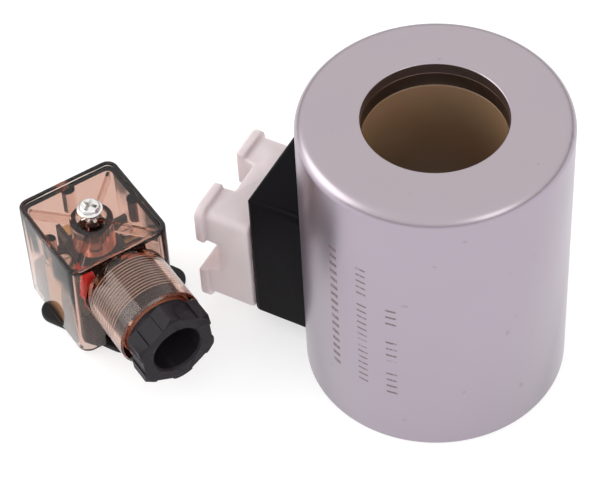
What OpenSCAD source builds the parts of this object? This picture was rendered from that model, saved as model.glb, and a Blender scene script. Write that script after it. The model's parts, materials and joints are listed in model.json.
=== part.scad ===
// Solenoid coil of a cartridge valve, with its form A plug connector beside it.
// Frame: origin on the bore's axis at the coil's bottom face, +Z up, terminals towards -X.

/* [Coil can] */
// Outer diameter of the steel can
can_d = 64; // [62:1:68]
// Height of the can
can_h = 80; // [76:1:90]
// Diameter of the bore for the armature tube
bore_d = 34; // [30:0.5:34]
// Wall thickness of the can
can_wall = 2.5; // [2:0.25:3]
// Thickness of the can's top
can_top = 3; // [2:0.5:4]
// Radius of the can's top edge
can_fillet = 3; // [1:0.2:5]
// Thickness of the ring under the can's top
washer_t = 4; // [3:0.5:5]
// Thickness of the plate at the bottom
plate_t = 6; // [4:0.5:7]

/* [Winding] */
// Wall thickness of the bobbin
bobbin_wall = 1.4; // [1:0.1:2]
// Thickness of the bobbin's flanges
flange_t = 2; // [1.5:0.5:3]
// Outer diameter of the copper winding
winding_d = 52.4; // [46:0.2:53]
// Thickness of the tape round the winding
tape_t = 0.6; // [0.4:0.1:1]

/* [Terminal base] */
// Width of the terminal base
base_w = 30; // [29:1:32]
// Height of the terminal base
base_h = 40; // [38:1:42]
// Height of the terminal base's underside
base_z = 6; // [5:1:8]
// Distance from the bore's axis to the terminal face
face_x = 43; // [40:0.5:44]
// Height of the centre of the blades
pin_z = 20; // [19:0.5:22]
// Distance of each blade from the centre of the pattern
pin_r = 9; // [9:0.5:9.5]
// Width of a blade
blade_w = 6.3; // [6.3:0.1:6.4]
// Thickness of a blade
blade_t = 0.8; // [0.8:0.1:0.9]
// Length of a blade outside the base
blade_l = 8.5; // [7:0.5:8.5]

/* [Transport cap] */
// Width and height of the cap at the base
cap_w = 30; // [29:1:31]
// Depth of the cap, from the terminal face outwards
cap_l = 14.5; // [14:0.5:16]
// How far the lips of the four lobes stand out
cap_lip = 1.2; // [0.5:0.1:2]
// Width of the gap between two lobes
cap_gap = 11; // [8:0.5:12]

/* [Plug housing] */
// Width of the plug's housing
plug_w = 27.5; // [27:0.5:29]
// Length of the housing towards the cable side
plug_l = 28.75; // [28.25:0.25:30]
// Height of the housing
plug_h = 30.3; // [29:0.1:31]
// Wall thickness of the housing
plug_wall = 1.8; // [1.5:0.1:2]
// Corner radius of the housing
plug_r = 3; // [2:0.5:4]
// Outer diameter of the gland tube
tube_d = 22.2; // [22:0.1:22.4]
// Length of the gland tube
tube_l = 17.3; // [16:0.5:19]
// Height of the gland tube's axis
tube_z = 19.8; // [19:0.1:20]
// Diameter of the gland's thread
thread_d = 18.6; // [18:0.1:18.6]

/* [Gland nut] */
// Width across flats of the nut
nut_af = 19.5; // [19:0.5:20]
// Thickness of the nut's head
nut_t = 6; // [5:0.5:7]
// Diameter of the nut's cable bore
nut_bore = 12.8; // [11:0.2:13]
// Gap between the tube's end and the nut's head
nut_gap = 1.7; // [1.6:0.1:2.5]

/* [Gasket] */
// Length of the flat gasket
gasket_l = 28; // [27:0.5:29]
// Width of the flat gasket
gasket_w = 30; // [27:0.5:30]
// Thickness of the gasket
gasket_t = 1.5; // [1:0.25:2]
// Turn of the loose gasket under the plug
gasket_turn = 27.4; // [0:0.1:35]

/* [Place of the plug] */
// Plug's place along X
plug_x = -81.7; // [-100:0.1:-78]
// Plug's place along Y
plug_y = -24.8; // [-40:0.1:-22]
// Direction that the gland points to
plug_turn = -29.2; // [-60:0.1:0]

/* [Hidden] */
$fn = 96;
eps = 0.01;
play = 0.1;                      // running clearance between a moving piece and its guide

// Coil
can_r = can_d / 2;
can_ir = can_r - can_wall;
bore_r = bore_d / 2;
bore_chamfer = 0.4;
washer_z = can_h - can_top - washer_t;
bobbin_r = bore_r + bobbin_wall;
flange_r = can_ir - 0.9;
winding_z = plate_t + flange_t;
winding_h = washer_z - flange_t - winding_z;
tape_r = winding_d / 2 + tape_t;

// Terminal base
base_round = 2;
window_w = 26;                   // window in the can's wall for the base's neck
window_margin = 2;               // height of the base's rim above and below the window
neck_x = tape_r + 0.2;
insert_r = 2.3;
insert_l = 8;
m3_core_r = 1.25;
blade_root = 8;                  // length of a blade held in the base
blade_tip = 1.2;                 // chamfer of a blade's tip
tail_w = 2;                      // the narrow end that a lead is soldered to
tail_l = 3;
lead_r = 0.4;
lead_play = 0.05;                // room round a lead in the parts it passes
strap_t = 0.5;
strap_h = 3;

// Transport cap
cap_floor = 9;                   // thickness of the cap's slab under its channels
cap_gap_floor = 9.5;             // width of a channel at its bottom
cap_lip_l = 2.5;                 // length of the lips at the outer end
cap_corner = 2;
cap_lip_corner = 3;
cap_skin = 0.1;

// Plug
floor_z = gasket_t;              // the housing stands on the gasket
plug_top = floor_z + plug_h;
half_w = plug_w / 2;
front_x = plug_l - half_w;       // outer face that carries the gland tube
top_t = 2;
recess_t = 0.6;                  // how deep the top lies inside its rim
rim_w = 1.3;
tube_r = tube_d / 2;
thread_r = thread_d / 2;
tube_end = front_x + tube_l;
root_t = 0.6;                    // shoulder that the grommet sits on
wire_hole_r = 6.5;
boss_r = 5.4;
boss_low = 20.6;
boss_sink = 3.9;                 // radius of the recess for the screw's head
boss_sink_t = 4;
column_r = 1.8;
column_low = 22.2;
rib_t = 0.8;
rib_h = 3;

// Contact holder
holder_r = 11.4;
holder_z = 2;
holder_corner = 1.5;
deck_z = 12;                     // deck that carries the indicator board
tower_z = 19.5;
tower_w = 10;                    // width of a tower along the wall
tower_in = 4.6;                  // inner face of a tower, from the centre
centre_tube_r = 3.4;

// Contacts and clamps, at three stations round the centre
STATIONS = [90, -90, 180];
contact_z = 3;
contact_h = 15;
contact_t = 4.6;
contact_w = 7.4;
contact_slot_h = 9;              // depth of the slot that takes the blade
chamber_z = 12.6;
chamber_h = 3.4;
chamber_l = 3.6;                 // depth of the wire chamber, across the blade's plane
clamp_t = 0.8;
clamp_len = 4.4;
clamp_wid = 3.2;
clamp_screw_r = 1.4;
clamp_head_r = 2.2;
clamp_head_h = 1.6;
clamp_slot_w = 0.6;
clamp_slot_depth = 0.8;

// Indicator circuit
board_x = 5.2;
board_l = 6;
board_w = 21;
board_t = 1;
led_x = 10.2;
led_y = -8.3;
led_r = 2.2;
led_top = 25.6;
varistor_x = 8.6;
varistor_y = 6.6;
varistor_r = 3.4;
varistor_z = 18.6;
varistor_t = 1.8;
leg_w = 0.5;                     // thickness of a component's leg
led_pitch = 2.54;                // distance between the LED's legs
led_body = 5;                    // height of the LED's body under its top, without the dome
varistor_pitch = 3.6;
resistor_x = 8;
resistor_y = -4.6;
resistor_r = 1;
resistor_l = 5.2;
rectifier_x = 6.2;
rectifier_y = -1.6;
rectifier_l = 3.6;
rectifier_w = 4.6;
rectifier_t = 2.2;

// Fixing screw and washer
screw_r = 1.5;
screw_top = 35.4;
screw_head_r = 3.2;
screw_head_h = 1.9;
cross_reach = 4;
cross_w = 0.7;
cross_depth = 1.2;
screw_tip = 0.4;
washer_lift = 31.1;              // the loose washer hangs under the head
lock_r = 2.8;
lock_t = 0.7;

// Gasket
gasket_dx = 2.4;                 // centre of the gasket from its hole
gasket_dy = 1.4;
gasket_hole_r = 9;
gasket_corner = 4;

// Gland
nut_thread_l = 5;
nut_back = tube_end + nut_gap;
nut_start = nut_back - nut_thread_l;
nut_panel_w = 5;                 // sunk panel in the middle of each flat
nut_panel_t = 0.35;
nut_angle = 34;                  // angle of a corner above the horizontal
ring_t = 1.3;
ring_bore = 6;
grommet_l = 10.5;
grommet_bore = 4.5;

// A ring or tube about Z
module tube(ro, ri, h) {
    difference() {
        cylinder(r = ro, h = h);
        translate([0, 0, -eps]) cylinder(r = ri, h = h + 2 * eps);
    }
}

// A rectangle with round corners, from its low corner to its high corner
module round_rect(x0, y0, x1, y1, r) {
    translate([x0 + r, y0]) square([x1 - x0 - 2 * r, y1 - y0]);
    translate([x0, y0 + r]) square([x1 - x0, y1 - y0 - 2 * r]);
    for (x = [x0 + r, x1 - r])
        for (y = [y0 + r, y1 - r])
            translate([x, y]) circle(r = r);
}

// Puts its children in the plug's own frame: X towards the gland, Z up
module at_plug() {
    translate([plug_x, plug_y, 0]) rotate([0, 0, plug_turn]) children();
}

// Puts its children, drawn along Z, on the gland's axis at distance x
module on_gland(x) {
    translate([x, 0, tube_z]) rotate([0, 90, 0]) children();
}

// Puts its children at a contact station: X outwards from the centre
module at_station(k) {
    at_plug() rotate([0, 0, STATIONS[k]]) children();
}

// ---- Coil ----

module can_profile() {
    difference() {
        union() {
            square([can_r, can_h - can_fillet]);
            translate([0, can_h - can_fillet]) square([can_r - can_fillet, can_fillet]);
            translate([can_r - can_fillet, can_h - can_fillet]) circle(r = can_fillet);
        }
        translate([-eps, -eps]) square([can_ir + eps, can_h - can_top + eps]);
        translate([-eps, 0]) square([bore_r + eps, can_h + 1]);
        polygon([
            [bore_r - eps, can_h - bore_chamfer],
            [bore_r + bore_chamfer, can_h + eps],
            [bore_r - eps, can_h + eps]
        ]);
    }
}

module base_window(margin) {
    translate([-can_r - 5, -window_w / 2 + margin, base_z + window_margin + margin])
        cube([can_r + 5 - neck_x, window_w - 2 * margin, base_h - 2 * window_margin - 2 * margin]);
}

module can() {
    color("#b9aeb6")
    difference() {
        rotate_extrude() can_profile();
        base_window(0);
    }
}

module upper_pole_washer() {
    color("#5a4a42") translate([0, 0, washer_z]) tube(can_ir, bore_r, washer_t);
}

module lower_pole_plate() {
    color("#8d8b8e") tube(can_ir, bore_r, plate_t);
}

module bobbin() {
    color("#9a8458")
    translate([0, 0, plate_t]) {
        tube(bobbin_r, bore_r, washer_z - plate_t);
        tube(flange_r, bobbin_r - eps, flange_t);
        translate([0, 0, washer_z - plate_t - flange_t]) tube(flange_r, bobbin_r - eps, flange_t);
    }
}

module winding() {
    color("#b87333") translate([0, 0, winding_z]) tube(winding_d / 2, bobbin_r, winding_h);
}

module insulation_tape() {
    color("#d8c98a")
    difference() {
        translate([0, 0, winding_z]) tube(tape_r, winding_d / 2, winding_h);
        lead_wires(lead_play);
    }
}

module potting() {
    color("#2a2a2c")
    difference() {
        translate([0, 0, winding_z]) tube(can_ir, tape_r, winding_h);
        base_window(0);
        lead_wires(lead_play);
    }
}

// Outline of the base block outside the can, rounded on all edges but the bottom ones
module base_block() {
    x0 = -face_x;
    x1 = -can_r + 5;
    intersection() {
        translate([0, 0, base_z])
            linear_extrude(height = base_h)
                round_rect(x0, -base_w / 2, x1 + base_round, base_w / 2, base_round);
        rotate([90, 0, 90])
            translate([0, 0, x0])
                linear_extrude(height = x1 - x0)
                    round_rect(-base_w / 2, base_z - base_round, base_w / 2, base_z + base_h, base_round);
        translate([0, base_w / 2 + eps, 0])
            rotate([90, 0, 0])
                linear_extrude(height = base_w + 2 * eps)
                    round_rect(x0, base_z - base_round, x1 + base_round, base_z + base_h, base_round);
    }
}

module terminal_base() {
    color("#242226")
    difference() {
        union() {
            difference() {
                base_block();
                cylinder(r = can_r, h = can_h);
            }
            difference() {
                base_window(0);
                translate([-face_x, 0, 0]) cube([2 * (face_x - can_r), 60, 200], center = true);
                translate([0, 0, -eps]) cylinder(r = tape_r, h = can_h);
            }
        }
        translate([-face_x - eps, 0, pin_z]) rotate([0, 90, 0]) cylinder(r = insert_r, h = insert_l + eps);
        live_blade(-1);
        live_blade(1);
        ground_blade();
        lead_wires(lead_play);
        strap_solid();
    }
}

module thread_insert() {
    color("#c9a24b")
    translate([-face_x, 0, pin_z]) rotate([0, 90, 0]) tube(insert_r, m3_core_r, insert_l);
}

// A blade along X: chamfered tip outside, soldering tail inside, thin along Y
module blade_solid() {
    tip = -face_x - blade_l;
    root = -face_x + blade_root;
    half = blade_w / 2;
    translate([0, blade_t / 2, 0])
    rotate([90, 0, 0])
    linear_extrude(height = blade_t)
    polygon([
        [tip, -half + blade_tip],
        [tip + blade_tip, -half],
        [root, -half],
        [root, -tail_w / 2],
        [root + tail_l, -tail_w / 2],
        [root + tail_l, tail_w / 2],
        [root, tail_w / 2],
        [root, half],
        [tip + blade_tip, half],
        [tip, half - blade_tip]
    ]);
}

module live_blade(side) {
    translate([0, side * pin_r, pin_z]) blade_solid();
}

module ground_blade() {
    translate([0, 0, pin_z - pin_r]) rotate([90, 0, 0]) blade_solid();
}

module blade_1() {
    color("#c8c4bc") live_blade(-1);
}

module blade_2() {
    color("#c8c4bc") live_blade(1);
}

module earth_blade() {
    color("#c8c4bc") ground_blade();
}

// The two leads from the blades' tails to the winding's outside
module lead_wires(grow) {
    tail_end = -face_x + blade_root + tail_l;
    for (side = [-1, 1]) {
        start = -sqrt(pow(winding_d / 2, 2) - pow(pin_r + lead_r, 2)) + 0.1;
        translate([tail_end, side * pin_r, pin_z])
            rotate([0, 90, 0]) cylinder(r = lead_r + grow, h = start - tail_end);
    }
}

module winding_leads() {
    color("#b87333")
    difference() {
        lead_wires(0);
        cylinder(r = winding_d / 2, h = can_h);
    }
}

// The strap's outline: from the earth blade's tail to the side of the can's window
module strap_solid() {
    tail_end = -face_x + blade_root + tail_l;
    side = -window_w / 2;
    turn_y = side + 2.6;
    turn_x = -sqrt(pow(can_ir + can_wall / 2, 2) - pow(side, 2));
    translate([0, 0, pin_z - pin_r - strap_h / 2])
    linear_extrude(height = strap_h)
    polygon([
        [tail_end, 1],
        [tail_end, turn_y],
        [turn_x, side],
        [turn_x + strap_t, side],
        [tail_end + strap_t, turn_y + strap_t],
        [tail_end + strap_t, 1]
    ]);
}

module earth_strap() {
    color("#c9a24b") strap_solid();
}

// ---- Transport cap ----

// The lips round the outer end
module cap_lip_ring() {
    half = cap_w / 2 + cap_lip;
    x1 = -face_x - cap_l;
    translate([x1, 0, pin_z])
        rotate([90, 0, 90])
            linear_extrude(height = cap_lip_l) round_rect(-half, -half, half, half, cap_lip_corner);
}

// A channel across the outer face, wider at its mouth than at its floor
module cap_channel() {
    reach = cap_w;
    x1 = -face_x - cap_l;
    translate([0, 0, pin_z - reach])
    linear_extrude(height = 2 * reach)
    polygon([
        [x1 - eps, -cap_gap / 2],
        [-face_x - cap_floor, -cap_gap_floor / 2],
        [-face_x - cap_floor, cap_gap_floor / 2],
        [x1 - eps, cap_gap / 2]
    ]);
}

module around_pins(angle) {
    translate([0, 0, pin_z]) rotate([angle, 0, 0]) translate([0, 0, -pin_z]) children();
}

module terminal_cap() {
    half = cap_w / 2;
    slot_w = blade_w + 0.4;
    slot_t = blade_t + 0.3;
    color("#e3d6d8")
    difference() {
        union() {
            translate([-face_x - cap_l + 1, 0, pin_z])
                rotate([90, 0, 90])
                    linear_extrude(height = cap_l - 1 - cap_skin)
                        round_rect(-half, -half, half, half, cap_corner);
            cap_lip_ring();
        }
        cap_channel();
        around_pins(90) cap_channel();
        for (a = [90, 180, 270])
            around_pins(a)
                translate([-face_x - blade_l - 0.4, -slot_w / 2, pin_z + pin_r - slot_t / 2])
                    cube([blade_l + 1, slot_w, slot_t]);
    }
}

// ---- Contact holder and contacts ----

module holder_tower() {
    translate([tower_in, -tower_w / 2, deck_z - eps])
        cube([holder_r - tower_in, tower_w, tower_z - deck_z]);
}

// Room for a contact, its clamp plate, its screw and the wire
module contact_pocket() {
    gap = 0.15;
    translate([pin_r - contact_t / 2 - gap, -contact_w / 2 - gap, contact_z - gap])
        cube([contact_t + 2 * gap, contact_w + 2 * gap, tower_z]);
    translate([pin_r - blade_t, -blade_w / 2 - 0.4, 0])
        cube([2 * blade_t, blade_w + 0.8, contact_z + 1]);
    translate([pin_r - chamber_l / 2, -tower_w, chamber_z])
        cube([chamber_l, 2 * tower_w, chamber_h]);
}

module contact_holder() {
    color("#3b3a40")
    at_plug()
    difference() {
        union() {
            translate([0, 0, holder_z])
                linear_extrude(height = deck_z - holder_z)
                    round_rect(-holder_r, -holder_r, holder_r, holder_r, holder_corner);
            for (a = STATIONS) rotate([0, 0, a]) holder_tower();
            translate([0, 0, deck_z - eps]) cylinder(r = centre_tube_r, h = tower_z - deck_z);
        }
        cylinder(r = screw_r + 3 * play, h = plug_top);
        for (a = STATIONS) rotate([0, 0, a]) contact_pocket();
    }
}

// A receptacle with a slot for the blade below and a wire chamber with a clamp above
module contact_solid() {
    difference() {
        translate([pin_r - contact_t / 2, -contact_w / 2, contact_z])
            cube([contact_t, contact_w, contact_h]);
        translate([pin_r - blade_t / 2 - 0.05, -blade_w / 2 - 0.1, contact_z - eps])
            cube([blade_t + 0.1, blade_w + 0.2, contact_slot_h]);
        translate([pin_r - chamber_l / 2, -contact_w, chamber_z])
            cube([chamber_l, 2 * contact_w, chamber_h]);
        translate([pin_r, 0, chamber_z]) cylinder(r = clamp_screw_r + 0.05, h = contact_h);
    }
}

module contact_1() {
    color("#c9a24b") at_station(0) contact_solid();
}

module contact_2() {
    color("#c9a24b") at_station(1) contact_solid();
}

module earth_contact() {
    color("#c9a24b") at_station(2) contact_solid();
}

module clamp_plate(k) {
    color("#c2c0bd")
    at_station(k)
    translate([pin_r - clamp_wid / 2, -clamp_len / 2, chamber_z + 0.2])
        cube([clamp_wid, clamp_len, clamp_t]);
}

module clamp_plate_1() {
    clamp_plate(0);
}

module clamp_plate_2() {
    clamp_plate(1);
}

module clamp_plate_3() {
    clamp_plate(2);
}

module clamp_screw(k) {
    shaft_z = chamber_z + 0.2 + clamp_t;
    head_z = contact_z + contact_h + 0.1;
    color("#d6d2c8")
    at_station(k)
    difference() {
        translate([pin_r, 0, 0]) {
            translate([0, 0, shaft_z]) cylinder(r = clamp_screw_r, h = head_z - shaft_z + eps);
            translate([0, 0, head_z]) cylinder(r = clamp_head_r, h = clamp_head_h);
        }
        translate([pin_r, 0, head_z + clamp_head_h])
            cube([clamp_slot_w, 3 * clamp_head_r, 2 * clamp_slot_depth], center = true);
    }
}

module clamp_screw_1() {
    clamp_screw(0);
}

module clamp_screw_2() {
    clamp_screw(1);
}

module clamp_screw_3() {
    clamp_screw(2);
}

// ---- Indicator circuit ----

module indicator_board() {
    color("#2f3b34")
    at_plug()
    difference() {
        translate([board_x, -board_w / 2, deck_z]) cube([board_l, board_w, board_t]);
        translate([board_x + board_l / 2, 0, deck_z - eps]) cylinder(r = 1, h = board_t + 1);
    }
}

module led() {
    top = deck_z + board_t;
    low = led_top - led_body - led_r;
    color("#d3151b")
    at_plug()
    translate([led_x, led_y, 0]) {
        for (y = [-led_pitch / 2, led_pitch / 2])
            translate([-leg_w / 2, y - leg_w / 2, top]) cube([leg_w, leg_w, low - top + led_r]);
        translate([0, 0, low]) cylinder(r = led_r + 0.3, h = 1);
        translate([0, 0, low + 0.5]) cylinder(r = led_r, h = led_body - 0.5);
        translate([0, 0, led_top - led_r]) sphere(r = led_r);
    }
}

module resistor() {
    color("#cfae7b")
    at_plug()
    translate([resistor_x - resistor_l / 2, resistor_y, deck_z + board_t + resistor_r])
        rotate([90, 0, 90]) cylinder(r = resistor_r, h = resistor_l);
}

module varistor() {
    top = deck_z + board_t;
    color("#d9822b")
    at_plug()
    translate([varistor_x, varistor_y, 0]) {
        translate([-varistor_t / 2, 0, varistor_z])
            rotate([0, 90, 0]) cylinder(r = varistor_r, h = varistor_t);
        for (y = [-varistor_pitch / 2, varistor_pitch / 2])
            translate([-leg_w / 2, y - leg_w / 2, top]) cube([leg_w, leg_w, varistor_z - top - 2]);
    }
}

module rectifier() {
    color("#1d1d20")
    at_plug()
    translate([rectifier_x, rectifier_y, deck_z + board_t])
        cube([rectifier_l, rectifier_w, rectifier_t]);
}

// ---- Plug housing ----

module housing_cavity() {
    inner = half_w - plug_wall;
    translate([0, 0, floor_z - 1])
        linear_extrude(height = plug_h - top_t - recess_t + 1)
            round_rect(-inner, -inner, front_x - plug_wall, inner, plug_r - 1.4);
}

module corner_rib(dx, dy) {
    reach = sqrt(dx * dx + dy * dy);
    under = plug_top - recess_t - top_t;
    rotate([0, 0, atan2(dy, dx)])
        translate([boss_r - 0.5, -rib_t / 2, under - rib_h])
            cube([reach - boss_r, rib_t, rib_h + eps]);
}

module plug_housing() {
    inner = half_w - plug_wall;
    under = plug_top - recess_t - top_t;
    inside = half_w - rim_w;
    color("#b98e7c", 0.55)
    at_plug()
    difference() {
        union() {
            difference() {
                translate([0, 0, floor_z])
                    linear_extrude(height = plug_h)
                        round_rect(-half_w, -half_w, front_x, half_w, plug_r);
                housing_cavity();
                translate([0, 0, plug_top - recess_t])
                    linear_extrude(height = 2)
                        round_rect(-inside, -inside, front_x - rim_w, inside, plug_r - rim_w);
            }
            on_gland(front_x - eps) cylinder(r = tube_r, h = tube_l + eps);
            translate([0, 0, boss_low]) cylinder(r = boss_r, h = plug_top - recess_t - boss_low);
            intersection() {
                for (p = [[-inner, 0], [0, inner], [0, -inner]])
                    translate([p[0], p[1], column_low]) cylinder(r = column_r, h = under - column_low + eps);
                translate([-half_w + 0.5, -half_w + 0.5, 0]) cube([2 * half_w - 1, 2 * half_w - 1, 40]);
            }
            corner_rib(-inner, inner);
            corner_rib(-inner, -inner);
            corner_rib(front_x - plug_wall, inner);
            corner_rib(front_x - plug_wall, -inner);
        }
        on_gland(front_x + root_t) cylinder(r = thread_r, h = tube_l + 1);
        on_gland(front_x - plug_wall - eps) cylinder(r = wire_hole_r, h = 4);
        translate([0, 0, plug_top - recess_t - boss_sink_t]) cylinder(r = boss_sink, h = 10);
        translate([0, 0, boss_low - 1]) cylinder(r = screw_r + play, h = 20);
    }
}

module cable_grommet() {
    color("#8d8b96")
    at_plug() on_gland(front_x + root_t + 0.1) tube(thread_r - 0.1, grommet_bore, grommet_l);
}

// ---- Fixing screw ----

module fixing_screw() {
    color("#d9d7d2")
    at_plug()
    difference() {
        union() {
            translate([0, 0, screw_tip])
                cylinder(r = screw_r, h = screw_top - screw_head_h - screw_tip + eps);
            translate([0, 0, screw_top - screw_head_h]) cylinder(r = screw_head_r, h = screw_head_h);
        }
        for (a = [0, 90])
            translate([0, 0, screw_top])
                rotate([0, 0, a])
                    cube([cross_reach, cross_w, 2 * cross_depth], center = true);
    }
}

module lock_washer() {
    color("#c9c7c2") at_plug() translate([0, 0, washer_lift]) tube(lock_r, screw_r + play, lock_t);
}

// ---- Gland ----

module thrust_ring() {
    color("#2e2d31")
    at_plug() on_gland(nut_start - ring_t - play) tube(thread_r - 0.4, ring_bore, ring_t);
}

module gland_nut() {
    corner_r = nut_af / 2 / cos(30);
    color("#3a383d")
    at_plug()
    difference() {
        union() {
            on_gland(nut_start) cylinder(r = thread_r - play, h = nut_thread_l + eps);
            on_gland(nut_back)
                rotate([0, 0, nut_angle + 90])
                    linear_extrude(height = nut_t)
                        difference() {
                            circle(r = corner_r, $fn = 6);
                            for (k = [0:5])
                                rotate([0, 0, 60 * k + 30])
                                    translate([nut_af / 2 - nut_panel_t, -nut_panel_w / 2])
                                        square([1, nut_panel_w]);
                        }
        }
        on_gland(nut_start - 1) cylinder(r = nut_bore / 2, h = nut_thread_l + nut_t + 2);
    }
}

// ---- Gasket ----

module gasket() {
    color("#2b2b2e")
    at_plug()
    rotate([0, 0, gasket_turn])
    difference() {
        translate([gasket_dx, gasket_dy, 0])
            linear_extrude(height = gasket_t)
                round_rect(-gasket_l / 2, -gasket_w / 2, gasket_l / 2, gasket_w / 2, gasket_corner);
        translate([0, 0, -eps]) cylinder(r = gasket_hole_r, h = gasket_t + 1);
    }
}

can();
upper_pole_washer();
lower_pole_plate();
bobbin();
winding();
insulation_tape();
potting();
terminal_base();
thread_insert();
blade_1();
blade_2();
earth_blade();
winding_leads();
earth_strap();
terminal_cap();
contact_holder();
contact_1();
contact_2();
earth_contact();
clamp_plate_1();
clamp_plate_2();
clamp_plate_3();
clamp_screw_1();
clamp_screw_2();
clamp_screw_3();
indicator_board();
led();
resistor();
varistor();
rectifier();
plug_housing();
cable_grommet();
fixing_screw();
lock_washer();
thrust_ring();
gland_nut();
gasket();
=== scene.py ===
import json
import math

import bmesh
import bpy
from mathutils import Matrix, Vector


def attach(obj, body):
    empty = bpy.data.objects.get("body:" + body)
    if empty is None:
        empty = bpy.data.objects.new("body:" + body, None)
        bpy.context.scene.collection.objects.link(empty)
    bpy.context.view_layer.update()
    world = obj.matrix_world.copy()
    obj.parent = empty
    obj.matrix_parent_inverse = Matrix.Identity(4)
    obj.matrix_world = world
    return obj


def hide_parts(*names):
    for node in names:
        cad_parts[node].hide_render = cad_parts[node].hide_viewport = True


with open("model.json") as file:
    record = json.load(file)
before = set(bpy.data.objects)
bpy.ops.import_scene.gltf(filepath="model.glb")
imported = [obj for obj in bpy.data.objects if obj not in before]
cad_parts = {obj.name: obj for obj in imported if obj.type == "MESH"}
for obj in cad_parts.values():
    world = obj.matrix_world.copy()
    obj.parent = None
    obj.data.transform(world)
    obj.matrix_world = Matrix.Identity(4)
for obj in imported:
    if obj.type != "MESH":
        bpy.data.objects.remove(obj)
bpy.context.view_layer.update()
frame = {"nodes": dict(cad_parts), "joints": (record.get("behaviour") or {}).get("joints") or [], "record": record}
print("frame loaded:", len(frame["nodes"]), "CAD nodes")

mm = 0.001


# Places from the frame

def jointCalled(name):
    return [j for j in frame["joints"] if j["name"] == name][0]


def mountCalled(name):
    return [m for m in frame["record"]["mounts"] if m["name"] == name][0]


glandAxis = Vector(jointCalled("nut_turn")["axis"])
glandPlace = Vector(jointCalled("nut_turn")["pos_m"])
screwPlace = Vector(jointCalled("screw_turn")["pos_m"])
plugTurn = math.atan2(glandAxis.y, glandAxis.x)

# Pieces of the plug are drawn in millimetres, X towards the gland and Z up, then put in place
plugFrame = (Matrix.Translation((screwPlace.x, screwPlace.y, 0))
             @ Matrix.Rotation(plugTurn, 4, "Z") @ Matrix.Scale(mm, 4))
coilFrame = Matrix.Scale(mm, 4)


def extent(node, place):
    # lowest and highest corner of a CAD node in the millimetres of that place
    back = place.inverted()
    points = [back @ v.co for v in frame["nodes"][node].data.vertices]
    low = Vector([min(p[i] for p in points) for i in range(3)])
    high = Vector([max(p[i] for p in points) for i in range(3)])
    return low, high


def onAxis(x, y, z):
    # turns a piece drawn along Z so that it points along X, from (x, y, z)
    return Matrix.Translation((x, y, z)) @ Matrix.Rotation(math.radians(90), 4, "Y")


# Mesh tools

def meshObject(name, verts, faces, place=None):
    mesh = bpy.data.meshes.new(name)
    mesh.from_pydata([tuple(v) for v in verts], [], faces)
    mesh.update()
    work = bmesh.new()
    work.from_mesh(mesh)
    bmesh.ops.remove_doubles(work, verts=work.verts, dist=1e-5)
    bmesh.ops.recalc_face_normals(work, faces=work.faces)
    work.to_mesh(mesh)
    work.free()
    made = bpy.data.objects.new(name, mesh)
    bpy.context.scene.collection.objects.link(made)
    if place is not None:
        mesh.transform(place)
    return made


def arc(cx, cy, r, start, end, steps):
    # points of an arc in degrees, both ends included
    points = []
    for i in range(steps + 1):
        a = math.radians(start + (end - start) * i / steps)
        points.append((cx + r * math.cos(a), cy + r * math.sin(a)))
    return points


def roundRect(x0, y0, x1, y1, r, steps=6):
    return (arc(x1 - r, y0 + r, r, -90, 0, steps) + arc(x1 - r, y1 - r, r, 0, 90, steps)
            + arc(x0 + r, y1 - r, r, 90, 180, steps) + arc(x0 + r, y0 + r, r, 180, 270, steps))


def prism(name, outline, z0, z1, place=None):
    n = len(outline)
    verts = [(x, y, z0) for x, y in outline] + [(x, y, z1) for x, y in outline]
    sides = [(i, (i + 1) % n, n + (i + 1) % n, n + i) for i in range(n)]
    return meshObject(name, verts, [tuple(range(n))[::-1], tuple(range(n, 2 * n))] + sides, place)


def loft(name, layers, place=None):
    # skin over outlines with the same number of points, each with its height
    n = len(layers[0][0])
    verts = [(x, y, z) for outline, z in layers for x, y in outline]
    faces = [tuple(range(n))[::-1], tuple(range(n * (len(layers) - 1), n * len(layers)))]
    for k in range(len(layers) - 1):
        faces += [(k * n + i, k * n + (i + 1) % n, (k + 1) * n + (i + 1) % n, (k + 1) * n + i)
                  for i in range(n)]
    return meshObject(name, verts, faces, place)


def lathe(name, profile, steps=96, place=None):
    # turns a closed outline of (radius, height) points about Z
    verts = []
    for k in range(steps):
        a = 2 * math.pi * k / steps
        verts += [(r * math.cos(a), r * math.sin(a), z) for r, z in profile]
    n = len(profile)
    faces = []
    for k in range(steps):
        k2 = (k + 1) % steps
        for i in range(n):
            i2 = (i + 1) % n
            ring = [k * n + i, k2 * n + i, k2 * n + i2, k * n + i2]
            if profile[i][0] < 1e-6 and profile[i2][0] < 1e-6:
                continue
            if profile[i][0] < 1e-6:
                ring = [k * n + i, k2 * n + i2, k * n + i2]
            elif profile[i2][0] < 1e-6:
                ring = [k * n + i, k2 * n + i, k * n + i2]
            faces.append(tuple(ring))
    return meshObject(name, verts, faces, place)


def softCorners(points, radii, steps=4):
    # rounds the corners of a closed outline, each by its own radius
    done = []
    n = len(points)
    for i, (p, r) in enumerate(zip(points, radii)):
        if r <= 0:
            done.append(p)
            continue
        here = Vector(p)
        before = (Vector(points[i - 1]) - here)
        after = (Vector(points[(i + 1) % n]) - here)
        reach = min(r, before.length * 0.49, after.length * 0.49)
        a = here + before.normalized() * reach
        b = here + after.normalized() * reach
        for k in range(steps + 1):
            t = k / steps
            q = a * (1 - t) ** 2 + here * 2 * t * (1 - t) + b * t ** 2
            done.append((q.x, q.y))
    return done


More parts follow.
